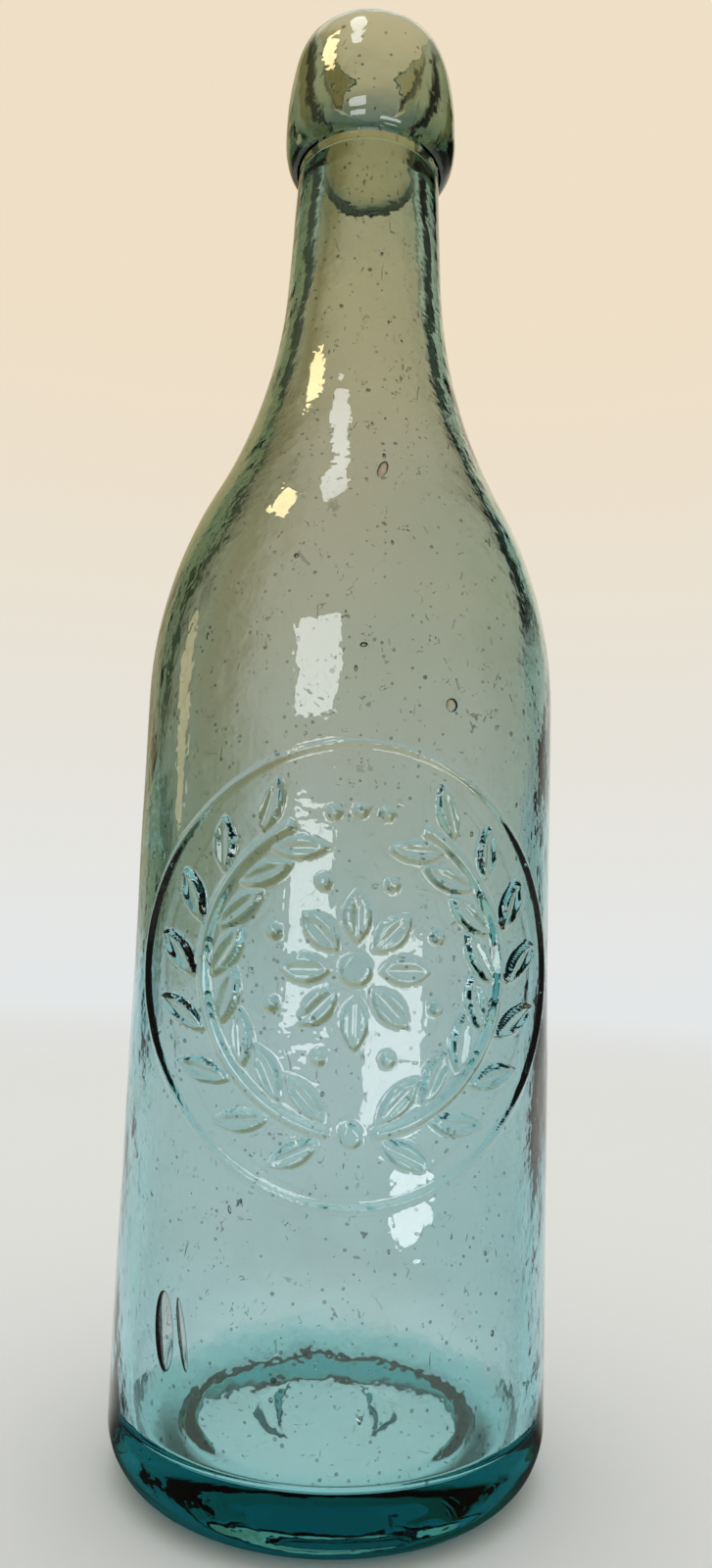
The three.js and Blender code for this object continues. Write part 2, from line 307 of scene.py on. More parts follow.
def spin_outline(name, outline, inside=False):
    """Draws an outline point by point in the XZ plane and spins it into a body."""
    deselect_all()
    bpy.ops.mesh.primitive_plane_add(size=MM, location=(outline[0][0], 0, outline[0][1]))
    piece = bpy.context.active_object
    piece.name = name
    piece.data.name = name
    bpy.ops.object.transform_apply(location=True, rotation=True, scale=True)
    switch("EDIT")
    bpy.ops.mesh.select_mode(type="VERT")
    bpy.ops.mesh.select_all(action="SELECT")
    bpy.ops.mesh.merge(type="CENTER")
    for here, there in zip(outline, outline[1:]):
        step = (there[0] - here[0], 0, there[1] - here[1])
        bpy.ops.mesh.extrude_region_move(TRANSFORM_OT_translate={"value": step})
    bpy.ops.mesh.select_all(action="SELECT")
    bpy.ops.mesh.spin(steps=TURNS_AROUND, angle=2 * math.pi, center=(0, 0, 0), axis=(0, 0, 1))
    bpy.ops.mesh.select_all(action="SELECT")
    bpy.ops.mesh.remove_doubles(threshold=MERGE_DISTANCE)
    bpy.ops.mesh.normals_make_consistent(inside=inside)
    switch("OBJECT")
    return piece


def places_of(piece):
    """The piece's vertices as an array."""
    places = np.empty(len(piece.data.vertices) * 3, np.float32)
    piece.data.vertices.foreach_get("co", places)
    return places.reshape(-1, 3).astype(float)


def weigh(piece, name, weights):
    """Adds a vertex group from an array of weights."""
    group = piece.vertex_groups.new(name=name)
    for index in np.nonzero(weights > 0)[0]:
        group.add([int(index)], float(weights[index]), "REPLACE")


def push_out(piece, group, strength, texture=None):
    """Moves a vertex group along the normals, by a texture if there is one, and applies it."""
    push = piece.modifiers.new(group, "DISPLACE")
    push.vertex_group = group
    push.strength = strength
    push.mid_level = 0.0
    if texture is not None:
        push.texture = texture
        push.texture_coords = "LOCAL"
        push.mid_level = 0.5
    bpy.context.view_layer.objects.active = piece
    bpy.ops.object.modifier_apply(modifier=push.name)


def waves(name, scale):
    """A soft cloud texture for hand-made unevenness."""
    texture = bpy.data.textures.new(name, "CLOUDS")
    texture.noise_scale = scale
    texture.noise_depth = 1
    return texture


def ease(value):
    """Smooth step from 0 to 1."""
    value = np.clip(value, 0.0, 1.0)
    return value * value * (3 - 2 * value)


def shoulder_to_neck(size, side, shoulder_round, foot_radius, top_radius, step):
    """The shoulder's round, the hollow sweep that touches it and the neck, and the neck's taper."""
    centre = Vector((side - shoulder_round, size.straight_top))
    foot = Vector((foot_radius, size.neck_foot))
    outward = Vector((size.neck_top - size.neck_foot, foot_radius - top_radius)).normalized()
    reach = foot - centre
    hollow = (reach.length_squared - shoulder_round**2) / (2 * (shoulder_round - reach.dot(outward)))
    hollow_centre = foot + outward * hollow
    turn = math.atan2(hollow_centre.y - centre.y, hollow_centre.x - centre.x)
    end = math.atan2(outward.y, outward.x)
    stretches = (turn * shoulder_round, (turn - end) * hollow, size.neck_top - size.neck_foot)
    shoulder_cuts, sweep_cuts, neck_cuts = [max(3, round(stretch / step)) for stretch in stretches]
    return [
        (side, size.straight_top),
        *arc(centre, shoulder_round, shoulder_round, 0, turn, shoulder_cuts),
        *arc(hollow_centre, hollow, hollow, turn + math.pi, end + math.pi, sweep_cuts),
        *line((foot_radius, size.neck_foot), (top_radius, size.neck_top - JOIN_GAP), neck_cuts),
    ]


def outer_sweep(size, step):
    """The outer face from the shoulder up."""
    return shoulder_to_neck(size, size.radius, size.shoulder_round, size.foot_radius, size.neck_radius, step)


def inner_sweep(size, step):
    """The inner face from the shoulder up."""
    inside = size.radius - size.wall
    return shoulder_to_neck(size, inside, size.shoulder_round - size.wall, size.foot_bore, size.bore, step)


def radius_at(sweep, heights):
    """Radius of a sweep at one or more heights."""
    return np.interp(heights, [z for _, z in sweep], [r for r, _ in sweep])


def body_outline(size, plate):
    """Outline of the blown body: underside, heel, side, shoulder and neck, and back down inside."""
    inside = size.radius - size.wall
    heel_foot = size.radius - size.heel_run
    bearing_inner = heel_foot - size.bearing_width
    post = bearing_inner - size.post_margin
    plate_low = plate.height - plate.radius - PLATE_MARGIN
    plate_high = plate.height + plate.radius + PLATE_MARGIN
    outer = outer_sweep(size, OUTER_SPACING)
    inner = inner_sweep(size, INNER_SPACING)
    floor_edge = inside - size.floor_fillet
    fillet = (floor_edge, size.floor + size.floor_fillet)
    quarter = math.pi / 2
    cuts = BODY_CUTS
    points = [(0, size.push_up)]
    points += bend(points[-1], (post, size.post_top), cuts["hollow"], lambda share: share**3)
    points += bend(points[-1], (post + size.post_run, size.post_foot), cuts["step"], ease)
    points += line(points[-1], (bearing_inner, size.bearing_rise), cuts["bearing"])
    points += [(bearing_inner + size.bearing_round / 2, size.bearing_rise / 5)]
    points += [(bearing_inner + size.bearing_round, 0)]
    points += line(points[-1], (heel_foot, 0), cuts["bearing"])
    points += arc((heel_foot, size.heel_height), size.heel_run, size.heel_height, -quarter, 0, cuts["heel"])
    points += line(points[-1], (size.radius, plate_low), cuts["low side"])
    points += line(points[-1], (size.radius, plate_high), cuts["plate"])
    points += line(points[-1], outer[0], cuts["high side"])
    points += outer[1:]
    points += line(points[-1], inner[-1], cuts["rim"])
    points += inner[::-1][1:]
    points += line(points[-1], (inside, fillet[1]), cuts["inner side"])
    points += arc(fillet, size.floor_fillet, size.floor_fillet, 0, -quarter, cuts["fillet"])
    points += arc((0, size.floor), floor_edge, size.floor_dome, 0, quarter, cuts["floor"])
    return points


def leaf_height(flat, edge, foot, along, length_, width):
    """Height of a pointed leaf with a vein over the flat drawing, 1 on its top."""
    fullness, sharpness = 0.8, 1.1
    vein_depth, vein_width, vein_fade = 0.45, 0.16 * width, 3
    across = flat - foot
    share = np.clip((across @ along) / length_, 0, 1)
    off = np.abs(across @ np.array((-along[1], along[0])))
    half = width / 2 * np.sin(math.pi * share) ** fullness
    vein = vein_depth * np.exp(-((off / vein_width) ** 2)) * ease((1 - share) * vein_fade)
    return ease((half - off) / edge * sharpness) * (1 - vein)


def disc_height(flat, edge, centre, radius):
    """Height of a round bead over the flat drawing, 1 on its top."""
    return ease((radius - np.hypot(*(flat - centre).T)) / edge)


def on_circle(radius, turn):
    """A point of the flat drawing, its angle counted from the bottom."""
    return np.array((radius * math.sin(turn), -radius * math.cos(turn)))


def ornament(flat, plate):
    """Height of the ring, wreath and rosette over the flat drawing, 1 at the full relief."""
    stem_height, stem_fade = 0.8, 20
    radius = np.hypot(*flat.T)
    turn = np.abs(np.arctan2(flat[:, 0], -flat[:, 1]))
    edge = plate.edge
    half_ring = plate.ring_width / 2
    ring = ease(1 - np.abs(radius - plate.radius + half_ring) / half_ring)
    high = ring * plate.ring_relief / plate.relief
    stem = ease(1 - np.abs(radius - plate.stem_radius) / plate.stem_width)
    ends = ease((turn - plate.stem_start) * stem_fade + 1) * ease((plate.stem_end - turn) * stem_fade + 1)
    high = np.maximum(high, stem_height * stem * ends)
    for side in (1, -1):
        for pair in range(plate.leaf_pairs):
            share = pair / (plate.leaf_pairs - 1)
            at = side * (plate.stem_start + (plate.stem_end - 2 * plate.stem_start) * share)
            for lean in (1, -1):
                foot = on_circle(plate.stem_radius + lean * (plate.stem_width / 2 + plate.leaf_gap), at)
                way = (0 if side > 0 else math.pi) + at - lean * side * plate.leaf_tilt
                along = np.array((math.cos(way), math.sin(way)))
                leaf = leaf_height(flat, edge, foot, along, plate.leaf_length, plate.leaf_width)
                high = np.maximum(high, leaf)
    discs = [(np.zeros(2), plate.boss_radius), (on_circle(plate.stem_radius, 0), plate.tie_radius)]
    for petal in range(plate.petals):
        at = 2 * math.pi * petal / plate.petals
        out = on_circle(1, at)
        high = np.maximum(
            high, leaf_height(flat, edge, out * plate.petal_inner, out, plate.petal_length, plate.petal_width)
        )
        discs.append((on_circle(plate.bead_circle, at + math.pi / plate.petals), plate.bead_radius))
    for step in (-1, 0, 1):
        discs.append((on_circle(plate.stem_radius, math.pi + step * plate.bead_spacing), plate.bead_radius))
    for centre, size in discs:
        high = np.maximum(high, disc_height(flat, edge, centre, size))
    return high


def crescents(flat, size):
    """Height of the two raised crescents under the base, 1 at the full relief."""
    radius = np.hypot(*flat.T)
    turn = np.arctan2(flat[:, 1], np.abs(flat[:, 0]))
    share = np.clip(turn / size.crescent_sweep, -1, 1)
    half = size.crescent_width / 2 * np.cos(share * math.pi / 2)
    return ease((half - np.abs(radius - size.crescent_radius + half)) / size.crescent_edge)


def blow(bubble, cuts):
    """Adds the ball of one bubble: its place, turn, lean and three half sizes."""
    place, turn, lean, half = bubble
    bpy.ops.mesh.primitive_ico_sphere_add(
        subdivisions=cuts, radius=1, location=place, rotation=(0, lean, turn), scale=half
    )


def add_bubbles(piece, bubbles):
    """Blows small hollows into the glass."""
    deselect_all()
    blow(bubbles[0], FINEST_BUBBLE)
    hollows = bpy.context.active_object
    hollows.name = piece.name + "_hollows"
    bpy.ops.object.transform_apply(location=True, rotation=True, scale=True)
    switch("EDIT")
    for bubble in bubbles[1:]:
        blow(bubble, FINE_BUBBLE if max(bubble[3]) > FINE_FROM else PLAIN_BUBBLE)
    bpy.ops.mesh.select_all(action="SELECT")
    bpy.ops.mesh.normals_make_consistent(inside=True)
    switch("OBJECT")
    deselect_all()
    hollows.select_set(True)
    piece.select_set(True)
    bpy.context.view_layer.objects.active = piece
    bpy.ops.object.join()


def finish_piece(piece, node, material):
    """Smooths a piece, gives it its finish, and puts it in the place of its node."""
    deselect_all()
    piece.select_set(True)
    bpy.context.view_layer.objects.active = piece
    bpy.ops.object.shade_smooth_by_angle(angle=SMOOTH_BELOW)
    piece.data.materials.clear()
    piece.data.materials.append(material)
    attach(piece, "root")
    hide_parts(node)


class Nodes:
    """Short ways to add and join the nodes of one material."""

    def __init__(self, material):
        material.use_nodes = True
        self.tree = material.node_tree
        self.tree.nodes.clear()

    def feed(self, node, inputs):
        """Links or sets the inputs of a node."""
        for key, value in inputs.items():
            if isinstance(value, bpy.types.NodeSocket):
                self.tree.links.new(value, node.inputs[key])
            else:
                node.inputs[key].default_value = value

    def add(self, kind, inputs=None, **settings):
        """A node with its settings and inputs."""
        node = self.tree.nodes.new(kind)
        for key, value in settings.items():
            setattr(node, key, value)
        self.feed(node, inputs or {})
        return node

    def math(self, operation, first, second=0.0, clamp=False):
        """What one operation makes of two numbers."""
        node = self.add("ShaderNodeMath", {0: first, 1: second}, operation=operation, use_clamp=clamp)
        return node.outputs[0]

    def product(self, first, *others):
        """All the values multiplied."""
        for other in others:
            first = self.math("MULTIPLY", first, other)
        return first

    def rest(self, share):
        """What a share leaves of 1."""
        return self.math("SUBTRACT", 1.0, share)

    def spread(self, value, low, high, to_low=0.0, to_high=1.0):
        """A soft step between two levels, while a value goes from low to high."""
        inputs = {"Value": value, "From Min": low, "From Max": high, "To Min": to_low, "To Max": to_high}
        return self.add("ShaderNodeMapRange", inputs, interpolation_type="SMOOTHSTEP").outputs[0]

    def stretch(self, place, factors):
        """A place with its axes scaled."""
        return self.add("ShaderNodeVectorMath", {0: place, 1: factors}, operation="MULTIPLY").outputs[0]

    def mix(self, share, first, second, blend="MIX"):
        """A mix of two colours."""
        inputs = {0: share, 6: first, 7: second}
        return self.add("ShaderNodeMix", inputs, data_type="RGBA", blend_type=blend).outputs[2]

    def join(self, share, first, second):
        """A mix of two shaders."""
        return self.add("ShaderNodeMixShader", {0: share, 1: first.outputs[0], 2: second.outputs[0]})

    def noise(self, place, scale, detail=3.0, rough=0.5):
        """A soft random pattern."""
        inputs = {"Vector": place, "Scale": scale, "Detail": detail, "Roughness": rough}
        return self.add("ShaderNodeTexNoise", inputs).outputs[0]


def rgba(values):
    """A colour with full cover."""
    return (*values, 1.0)


def stained(nodes, place, height, look, top_tint):
    """Tint of the glass, browner and darker towards the top as painted colour of the warm, dim room seen
    through it, under a cloudy stain.
    """
    to_shoulder, to_top = (40 * MM, 140 * MM), (130 * MM, 200 * MM)
    cloud_scale, cloud_range, cloud_depth = 45, (0.52, 0.78), 0.35
    tint = nodes.mix(nodes.spread(height, *to_shoulder), rgba(look.low_tint), rgba(look.shoulder_tint))
    tint = nodes.mix(nodes.spread(height, *to_top), tint, rgba(top_tint))
    cloud = nodes.spread(nodes.noise(place, cloud_scale, 5, 0.6), *cloud_range, 0.0, cloud_depth)
    return nodes.mix(cloud, tint, rgba(look.stain), "MULTIPLY")


def specked(nodes, place, tint, dirt):
    """A tint with dirt specks: dots of a drawn size in some cells of three patterns."""
    soft_edge, no_speck = (-0.012, 0.015), -0.02
    for scale, clean, widest, depth in SPECKS:
        dots = nodes.add("ShaderNodeTexVoronoi", {"Vector": place, "Scale": scale})
        lottery = nodes.add("ShaderNodeSeparateColor", {0: dots.outputs["Color"]}).outputs[0]
        size = nodes.spread(lottery, clean, 1.0, no_speck, widest)
        inside = nodes.math("SUBTRACT", size, dots.outputs["Distance"])
        tint = nodes.mix(nodes.product(nodes.spread(inside, *soft_edge), depth), tint, dirt)
    return tint


def scratches(nodes, place):
    """Short scratches, mostly upright: broken edges of a swayed cell pattern."""
    sway_scale, sway_reach, upright = 60.0, 4 * MM, (1.0, 1.0, 0.4)
    cell_scale, edge_width = 120.0, (0.004, 0.014)
    break_scale, break_range = 330, (0.62, 0.68)
    sway = nodes.add("ShaderNodeTexNoise", {"Vector": place, "Scale": sway_scale}).outputs["Color"]
    swayed = nodes.add(
        "ShaderNodeVectorMath", {0: sway, 1: (sway_reach,) * 3, 2: place}, operation="MULTIPLY_ADD"
    )
    cells = nodes.add(
        "ShaderNodeTexVoronoi",
        {"Vector": nodes.stretch(swayed.outputs[0], upright), "Scale": cell_scale},
        feature="DISTANCE_TO_EDGE",
    )
    edges = nodes.spread(cells.outputs["Distance"], *edge_width, 1.0, 0.0)
    return nodes.product(edges, nodes.spread(nodes.noise(place, break_scale, 2), *break_range))


def ripples(nodes, place, height, scratch):
    """Bump of the uneven skin, calm near the base, where small slopes would tear the view through it."""
    fine_scale, fine_share, slow_scale, scratch_share = 320, 0.4, 85, 0.3
    calm_heights, calm, lively = (10 * MM, 20 * MM), 0.08, 0.3
    fine = nodes.product(nodes.noise(place, fine_scale, 2), fine_share)
    relief = nodes.math("ADD", fine, nodes.noise(place, slow_scale, 2))
    relief = nodes.math("SUBTRACT", relief, nodes.product(scratch, scratch_share))
    strength = nodes.spread(height, *calm_heights, calm, lively)
    bump = nodes.add("ShaderNodeBump", {"Strength": strength, "Distance": 0.6 * MM, "Height": relief})
    return bump.outputs[0]


def old_glass(name, look, top_tint, absorbs, density):
    """Clear aqua glass that darkens with thickness, with stains, dirt specks, scratches and soft waves."""
    scratch_depth = 0.5
    streak_scale, streaks_upright, streak_range = 60, (1.0, 1.0, 0.3), (0.42, 0.75)
    clearest, dullest = 0.010, 0.06
    material = bpy.data.materials.new(name)
    nodes = Nodes(material)
    place = nodes.add("ShaderNodeTexCoord").outputs["Object"]
    height = nodes.add("ShaderNodeSeparateXYZ", {0: place}).outputs[2]
    scratch = scratches(nodes, place)
    tint = specked(nodes, place, stained(nodes, place, height, look, top_tint), rgba(look.dirt))
    tint = nodes.mix(nodes.product(scratch, scratch_depth), tint, rgba(look.dirt))
    streaks = nodes.noise(nodes.stretch(place, streaks_upright), streak_scale, 4, 0.55)
    rough = nodes.spread(streaks, *streak_range, clearest, dullest)
    # The two faces of the fused joint, where the skin is 0, let light pass unbent.
    from_seat = nodes.math("ABSOLUTE", nodes.math("SUBTRACT", height, look.seat))
    skin = nodes.math("GREATER_THAN", from_seat, JOIN_REACH)
    shader = nodes.add(
        "ShaderNodeBsdfPrincipled",
        {
            "Base Color": nodes.mix(skin, WHITE, tint),
            "Roughness": nodes.product(rough, skin),
            "IOR": nodes.math("ADD", 1.0, nodes.product(skin, look.index - 1.0)),
            "Transmission Weight": 1.0,
            "Normal": ripples(nodes, place, height, scratch),
        },
    )
    volume = nodes.add("ShaderNodeVolumeAbsorption", {"Color": rgba(absorbs), "Density": density})
    nodes.add("ShaderNodeOutputMaterial", {"Surface": shader.outputs[0], "Volume": volume.outputs[0]})
    return material


def roughen(piece, table):
    """Pushes the weighed faces of a piece by its waves."""
    for group, strength, scale in table:
        push_out(piece, group, strength, waves(f"{piece.name}_{group}", scale))


def on_wall(size, turn, height, share):
    """A place inside the glass wall: 0 is the inner face and 1 the outer one."""
    far = radius_at(outer_sweep(size, LOOKUP_SPACING), height)
    near = radius_at(inner_sweep(size, LOOKUP_SPACING), height)
    radius = near + (far - near) * share
    return (radius * math.sin(turn), -radius * math.cos(turn), height)


class BOTTLE_OT_blown_body(bpy.types.Operator):
    """Model the blown body with its raised plate"""

    bl_idname = "bottle.blown_body"
    bl_label = "Blown body"

    def execute(self, context):
        size, plate = context.scene.bottle_body, context.scene.bottle_plate
        piece = spin_outline("glass_body", body_outline(size, plate))
        self.refine_plate(piece, size, plate)
        self.weigh_faces(piece, size, plate)
        push_out(piece, "raised", plate.relief)
        push_out(piece, "marked", size.crescent_relief)
        roughen(piece, BODY_WAVES)
        piece.vertex_groups.clear()
        add_bubbles(piece, self.bubbles(size))
        look = context.scene.bottle_glass
        glass = old_glass("aqua_glass", look, look.neck_tint, look.absorbs, look.density)
        finish_piece(piece, "bottle_body", glass)
        return {"FINISHED"}

    @staticmethod
    def weigh_faces(piece, size, plate):
        """Weighs the ornament, the mark under the base, and the faces that the waves push."""
        past_sides, over_mark, round_mark, neck_fade = 0.2, MM / 2, 3 * MM, 8 * MM
        calm_from, calm_run, calmest = 10 * MM, 20 * MM, 0.1
        shoulder_from, shoulder_run, shoulder_loss = 140 * MM, 25 * MM, 0.5
        places = places_of(piece)
        radius = np.hypot(places[:, 0], places[:, 1])
        turn = np.arctan2(places[:, 0], -places[:, 1])
        heights = places[:, 2]
        skin = radius_at(outer_sweep(size, LOOKUP_SPACING), heights)
        outside = (radius > skin - size.wall / 2) & (heights > size.heel_height / 2)
        inside = ~outside & (heights > size.floor - MM)
        across = plate.radius * np.sin(turn) / math.sin(plate.wrap)
        flat = np.stack([across, heights - plate.height], axis=1)
        front = outside & (np.abs(turn) < plate.wrap + past_sides)
        raised = np.zeros(len(places))
        raised[front] = ornament(flat[front], plate)
        under = (heights < size.push_up + over_mark) & (radius < size.crescent_radius + round_mark)
        marked = np.zeros(len(places))
        marked[under] = crescents(places[under][:, :2], size)
        fade = ease((size.neck_top - heights) / neck_fade)
        calm = ease((heights - calm_from) / calm_run) * (1 - calmest) + calmest
        calm -= shoulder_loss * ease((heights - shoulder_from) / shoulder_run)
        weigh(piece, "raised", raised)
        weigh(piece, "marked", marked)
        weigh(piece, "outside", outside * fade)
        weigh(piece, "inside", inside * fade * calm)

    @staticmethod
    def refine_plate(piece, size, plate):
        """Cuts the faces under the plate finer."""
        past_sides, past_ends = math.radians(3), 1.5 * MM
        for face in piece.data.polygons:
            centre = face.center
            wide = abs(math.atan2(centre.x, -centre.y)) < plate.wrap + past_sides
            tall = abs(centre.z - plate.height) < plate.radius + past_ends
            face.select = wide and tall and centre.xy.length > size.radius - size.wall / 2
        for part in (*piece.data.edges, *piece.data.vertices):
            part.select = False
        switch("EDIT")
        bpy.ops.mesh.select_mode(type="FACE")
        switch("OBJECT")
        switch("EDIT")
        bpy.ops.mesh.subdivide(number_cuts=PLATE_CUTS)
        switch("OBJECT")

    @staticmethod
    def bubbles(size):
        """A long lens with a sliver beside it, a tear, some round ones, and many small seeds."""
        lowest, highest, in_wall = 16 * MM, 205 * MM, (0.35, 0.65)
        smallest, largest, longest = 0.10, 0.32, 2.2
        picked = []
        for degrees, at, share, lean, half in LARGE_BUBBLES:
            turn = math.radians(degrees)
            sizes = tuple(part * MM for part in half)
            picked.append((on_wall(size, turn, at * MM, share), turn, math.radians(lean), sizes))
        draw = random.Random(11)
        for _ in range(BODY_SEEDS):
            turn = draw.uniform(-math.pi, math.pi)
            at = draw.uniform(lowest, highest)
            small = draw.uniform(smallest, largest) * MM
            tall = small * draw.uniform(1.0, longest)
            place = on_wall(size, turn, at, draw.uniform(*in_wall))
            picked.append((place, turn, draw.uniform(-SEED_LEAN, SEED_LEAN), (small, small, tall)))
        return picked


class BOTTLE_OT_applied_lip(bpy.types.Operator):
    """Model the lip that was put on the neck by hand"""

    bl_idname = "bottle.applied_lip"
    bl_label = "Applied lip"

    def execute(self, context):
        size, body = context.scene.bottle_lip, context.scene.bottle_body
        piece = spin_outline("glass_lip", self.outline(size, body))
        places = places_of(piece)
        radius = np.hypot(places[:, 0], places[:, 1])
        seat_fade, crown_fade, mouth_fade = 3 * MM, 3 * MM, 4 * MM
        off_seat = ease((places[:, 2] - size.seat) / seat_fade)
        off_rim = ease((radius - body.bore - MM) / crown_fade)
        below_rim = ease((size.top - MM - places[:, 2]) / mouth_fade)
        weigh(piece, "skin", off_seat * off_rim)
        weigh(piece, "mouth", off_seat * below_rim * (radius < body.bore + MM / 2))
        roughen(piece, LIP_WAVES)
        piece.vertex_groups.clear()
        add_bubbles(piece, self.bubbles(size, body))
        look = context.scene.bottle_glass
        glass = old_glass("lip_aqua_glass", look, look.lip_tint, look.lip_absorbs, look.lip_density)
        finish_piece(piece, "blob_lip", glass)
        return {"FINISHED"}

    @staticmethod
    def outline(size, body):
        """Outline of the lip, closed on itself."""
        low = size.seat + JOIN_GAP
        bulge = size.seat + size.bulge
        mouth = body.bore + size.mouth_round
        land = mouth + size.land
        upright, level = (size.radius, bulge + size.side_pull), (land + size.crown_pull, size.top)
        pulls = [Vector(pull) for pull in ((size.radius, bulge), upright, level, (land, size.top))]
        cuts, quarter = LIP_CUTS, math.pi / 2
        side = []
        for step in range(1, cuts["side"] + 1):
            t = step / cuts["side"]
            weights = ((1 - t) ** 3, 3 * t * (1 - t) ** 2, 3 * t * t * (1 - t), t**3)
            spot = sum((pull * weight for pull, weight in zip(pulls, weights)), Vector((0, 0)))
            side.append(tuple(spot))
        swell, edge = size.radius - body.neck_radius, size.mouth_round
        points = [(body.bore, low)]
        points += line(points[-1], (body.neck_radius, low), cuts["seat"])
        points += arc((body.neck_radius, bulge), swell, bulge - low, -quarter, 0, cuts["swell"])
        points += side
        points += line(points[-1], (mouth, size.top), cuts["land"])
        points += arc((mouth, size.top - edge), edge, edge, quarter, math.pi, cuts["mouth"])
        points += line(points[-1], (body.bore, low), cuts["bore"])
        return points

    @staticmethod
    def bubbles(size, body):
        """Small seeds in the lip."""
        above_seat, below_top, off_bore = 3 * MM, 5 * MM, 2 * MM
        smallest, largest, longest = 0.12, 0.32, 1.8
        draw = random.Random(5)
        picked = []
        for _ in range(LIP_SEEDS):
            turn = draw.uniform(-math.pi, math.pi)
            radius = draw.uniform(body.bore + off_bore, body.neck_radius)
            at = draw.uniform(size.seat + above_seat, size.top - below_top)
            small = draw.uniform(smallest, largest) * MM
            place = (radius * math.sin(turn), -radius * math.cos(turn), at)
            lean = draw.uniform(-SEED_LEAN, SEED_LEAN)
            picked.append((place, turn, lean, (small, small, small * draw.uniform(1.0, longest))))
        return picked


def wall_glow(nodes, look, way, rays):
    """Light of the tent's walls and roof by direction, with painted shade that only the glass sees: dark
    flags, a dim front in reflections, a dark overhead and a darker left.
    """
    middle_rise, upper_rise = (0.0, 0.22), (0.15, 0.6)
    roof_rise, overhead_rise = (0.78, 0.95), (0.60, 0.95)
    olive_side, olive_back, olive_rise = (-0.24, 0.0), (0.3, 0.6), (0.0, 0.12)
    flag_start, flag_end, between_flags = (0.64, 0.76), (1.0, 1.2), (-0.1, 0.1)
    left_rise, left_top = (0.08, 0.38), 0.82
    right_rise, right_top = (0.30, 0.50), 0.98
    front_turn = (0.6, 1.1)
    side, back, rise = way
    through = rays["Is Transmission Ray"]
    plain = nodes.math("MAXIMUM", rays["Is Camera Ray"], rays["Is Diffuse Ray"])
    by_glass = nodes.rest(plain)
    wall = nodes.mix(nodes.spread(rise, *middle_rise), rgba(look.low), rgba(look.middle))
    wall = nodes.mix(nodes.spread(rise, *upper_rise), wall, rgba(look.upper))
    roof = nodes.product(nodes.spread(rise, *roof_rise), nodes.rest(through))
    wall = nodes.mix(roof, wall, WHITE)
    # Painted shade: the glass shows the roof dark, though the camera and the floor see it bright.
    over = nodes.product(nodes.spread(rise, *overhead_rise), through)
    wall = nodes.mix(over, wall, rgba(look.overhead))
    # Painted shade on the left, which only the glass mirrors and shows.
    painted_left_shade = nodes.product(nodes.spread(side, *olive_side, 1.0, 0.0), nodes.spread(back, *olive_back))
    painted_left_shade = nodes.product(painted_left_shade, nodes.spread(rise, *olive_rise), by_glass)
    wall = nodes.mix(painted_left_shade, wall, rgba(look.left_shade), "MULTIPLY")
    # Painted flags: dark bands at the sides that only the glass mirrors and shows; no flag stands there.
    turn = nodes.math("ABSOLUTE", nodes.math("ARCTAN2", side, back))
    painted_flag_shade = nodes.math("SUBTRACT", nodes.spread(turn, *flag_start), nodes.spread(turn, *flag_end))
    left = nodes.spread(rise, *left_rise, look.left_painted_flag, left_top)
    right = nodes.spread(rise, *right_rise, look.right_painted_flag, right_top)
    depth = nodes.spread(side, *between_flags, left, right)
    painted_flag_shade = nodes.product(painted_flag_shade, depth, nodes.rest(roof), by_glass)
    seen = nodes.math("MAXIMUM", plain, through)
    # Painted shade: the tent's front is dim only where the glass mirrors it.
    front = nodes.math("MAXIMUM", seen, nodes.spread(turn, *front_turn, 1.0, look.front))
    brighter = nodes.math("ADD", 1.0, nodes.product(roof, look.roof))
    level = nodes.product(nodes.rest(painted_flag_shade), front, brighter)
    return nodes.add("ShaderNodeEmission", {"Color": wall, "Strength": level})


def floor_face(nodes, look, out_from, back, rays):
    """The floor, with a ring of painted shadow under the bottle's bearing ring, a glowing pane of painted
    light where the glass shows it, and painted shade where the glass mirrors it.
    """
    shade_start, shade_end, shade_back = (21.5 * MM, 23.5 * MM), (24.5 * MM, 27.5 * MM), (-0.4, 0.4)
    shade, back_share = (0.03, 0.07, 0.072, 1), 0.1
    painted_glow_reach, painted_glow_gain = (30 * MM, 120 * MM), 1.25
    dull_range, dull_near, dull_far = (50 * MM, 300 * MM), (0.08, 0.08, 0.08, 1), (0.4, 0.4, 0.4, 1)
    dull_back = (0.0, 0.4)
    through = rays["Is Transmission Ray"]
    # Painted shadow: a dark ring on the floor under the bearing ring, darker in front, on the matt floor and
    # on the pane that the glass shows.
    under = nodes.math("SUBTRACT", nodes.spread(out_from, *shade_start), nodes.spread(out_from, *shade_end))
    under = nodes.product(under, nodes.spread(back, *shade_back, 1.0, back_share))
    matt = nodes.add("ShaderNodeBsdfDiffuse", {"Color": nodes.mix(under, rgba(look.paint), shade)})
    # Painted light: the floor that the glass shows glows as a pane, brighter near the bottle.
    level = nodes.spread(out_from, *painted_glow_reach, painted_glow_gain * look.floor_level, look.floor_level)
    shown = nodes.mix(under, rgba(look.floor), shade)
    glowing_floor_pane = nodes.add("ShaderNodeEmission", {"Color": shown, "Strength": level})
    # Painted shade: where the glass mirrors the floor in front, the floor is dark grey, darkest near the
    # bottle.
    painted_shade_grey = nodes.mix(nodes.spread(out_from, *dull_range), dull_near, dull_far)
    mirrored_painted_shade = nodes.add("ShaderNodeBsdfDiffuse", {"Color": painted_shade_grey})
    mirrored = nodes.math("SUBTRACT", rays["Is Glossy Ray"], through, True)
    mirrored = nodes.product(mirrored, nodes.spread(back, *dull_back, 1.0, 0.0))
    return nodes.join(mirrored, nodes.join(through, matt, glowing_floor_pane), mirrored_painted_shade)


